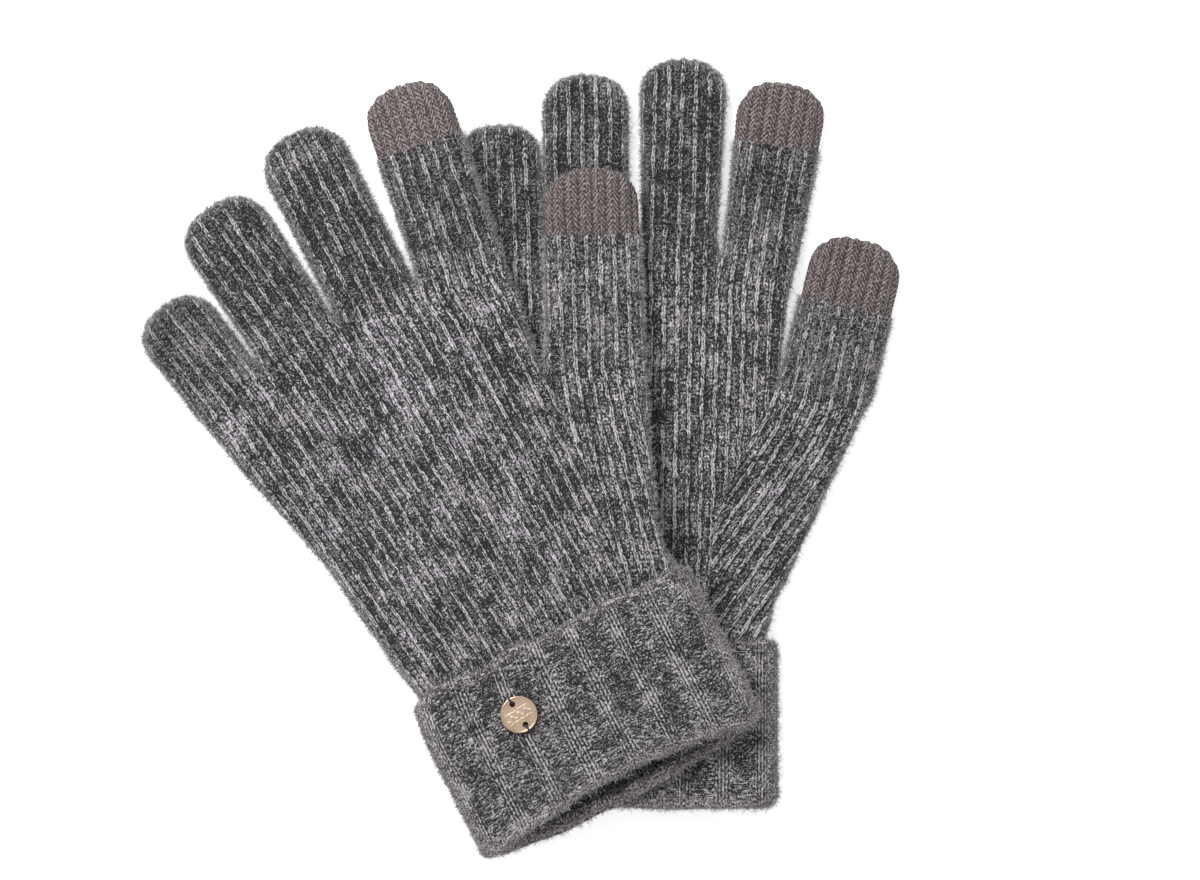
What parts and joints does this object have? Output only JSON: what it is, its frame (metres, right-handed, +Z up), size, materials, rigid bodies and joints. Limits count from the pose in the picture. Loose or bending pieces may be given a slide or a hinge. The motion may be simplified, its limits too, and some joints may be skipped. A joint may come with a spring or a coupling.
{
  "type": "touchscreen gloves",
  "caption": "Pair of knitted touchscreen gloves with turned-up ribbed cuffs, conductive index and thumb tips and a small disc charm, laid one across the other.",
  "frame": {"origin": "on the surface the pair lies on, under the middle of the pair's overall box", "axes": "+Z up, away from the surface; +Y along the under glove from its cuff to its fingertips; +X towards the under glove's thumb"},
  "size_m": [0.2489, 0.2624, 0.0325],
  "materials": {
    "knit_charcoal": "brushed marled rib knit, charcoal with pale grey strands",
    "knit_cuff": "thick brushed wide-rib knit, charcoal with pale grey strands",
    "knit_touch": "smooth conductive rib knit, taupe",
    "elastic_thread": "covered elastic thread",
    "yarn_end": "knotted yarn end",
    "charm_metal": "polished pale rose gold plate, lightly brushed face",
    "sewing_thread": "dark sewing thread"
  },
  "bodies": {
    "right_glove": {"right_hand": "knit_charcoal", "right_wrist_rib": "knit_cuff", "right_wrist_elastic": "elastic_thread", "right_little_finger": "knit_charcoal", "right_little_finger_yarn_knot": "yarn_end", "right_ring_finger": "knit_charcoal", "right_ring_finger_yarn_knot": "yarn_end"},
    "left_glove": {"left_hand": "knit_charcoal", "left_wrist_rib": "knit_cuff", "left_wrist_elastic": "elastic_thread"},
    "right_cuff": {"right_turn_up_cuff": "knit_cuff"},
    "left_cuff": {"left_turn_up_cuff": "knit_cuff", "charm_thread": "sewing_thread"},
    "charm": {"charm_disc": "charm_metal"},
    "right_middle_finger": {"right_middle_finger": "knit_charcoal", "right_middle_finger_yarn_knot": "yarn_end"},
    "right_index_finger": {"right_index_finger": "knit_charcoal", "right_index_finger_yarn_knot": "yarn_end", "right_index_touch_tip": "knit_touch"},
    "right_thumb": {"right_thumb": "knit_charcoal", "right_thumb_yarn_knot": "yarn_end", "right_thumb_touch_tip": "knit_touch"},
    "left_little_finger": {"left_little_finger": "knit_charcoal", "left_little_finger_yarn_knot": "yarn_end"},
    "left_ring_finger": {"left_ring_finger": "knit_charcoal", "left_ring_finger_yarn_knot": "yarn_end"},
    "left_middle_finger": {"left_middle_finger": "knit_charcoal", "left_middle_finger_yarn_knot": "yarn_end"},
    "left_index_finger": {"left_index_finger": "knit_charcoal", "left_index_finger_yarn_knot": "yarn_end", "left_index_touch_tip": "knit_touch"},
    "left_thumb": {"left_thumb": "knit_charcoal", "left_thumb_yarn_knot": "yarn_end", "left_thumb_touch_tip": "knit_touch"}
  },
  "joints": [
    {"name": "left_glove_lift", "type": "slide", "parent": "right_glove", "child": "left_glove", "axis": [0, 0, 1], "range_m": [0, 0.12]},
    {"name": "right_cuff_turn_down", "type": "slide", "parent": "right_glove", "child": "right_cuff", "axis": [0, -1, 0], "range_m": [0, 0.045]},
    {"name": "left_cuff_turn_down", "type": "slide", "parent": "left_glove", "child": "left_cuff", "axis": [0.454, -0.891, 0], "range_m": [0, 0.045]},
    {"name": "charm_rock", "type": "hinge", "parent": "left_cuff", "child": "charm", "pos_m": [-0.0002, -0.0837, 0.0309], "axis": [-0.5446, 0.8387, 0], "range_deg": [-6, 6]},
    {"name": "right_middle_finger_fold", "type": "hinge", "parent": "right_glove", "child": "right_middle_finger", "pos_m": [0.05251, 0.07018, 0.0092], "axis": [0.9997, -0.0262, 0], "range_deg": [0, 80]},
    {"name": "right_index_finger_fold", "type": "hinge", "parent": "right_glove", "child": "right_index_finger", "pos_m": [0.07792, 0.05867, 0.0092], "axis": [0.9907, -0.1357, 0], "range_deg": [0, 80]},
    {"name": "right_thumb_fold", "type": "hinge", "parent": "right_glove", "child": "right_thumb", "pos_m": [0.10054, 0.02117, 0.0092], "axis": [0.9703, -0.2419, 0], "range_deg": [0, 80]},
    {"name": "left_little_finger_fold", "type": "hinge", "parent": "left_glove", "child": "left_little_finger", "pos_m": [-0.09621, 0.02144, 0.0092], "axis": [0.788, 0.6157, 0], "range_deg": [0, 80]},
    {"name": "left_ring_finger_fold", "type": "hinge", "parent": "left_glove", "child": "left_ring_finger", "pos_m": [-0.0726, 0.03775, 0.0092], "axis": [0.8387, 0.5446, 0], "range_deg": [0, 80]},
    {"name": "left_middle_finger_fold", "type": "hinge", "parent": "left_glove", "child": "left_middle_finger", "pos_m": [-0.04708, 0.05116, 0.01478], "axis": [0.8988, 0.4384, 0], "range_deg": [0, 80]},
    {"name": "left_index_finger_fold", "type": "hinge", "parent": "left_glove", "child": "left_index_finger", "pos_m": [-0.01916, 0.06177, 0.0186], "axis": [0.9483, 0.3173, 0], "range_deg": [0, 80]},
    {"name": "left_thumb_fold", "type": "hinge", "parent": "left_glove", "child": "left_thumb", "pos_m": [0.02499, 0.03318, 0.01865], "axis": [0.9996, 0.0279, 0], "range_deg": [0, 80]}
  ]
}
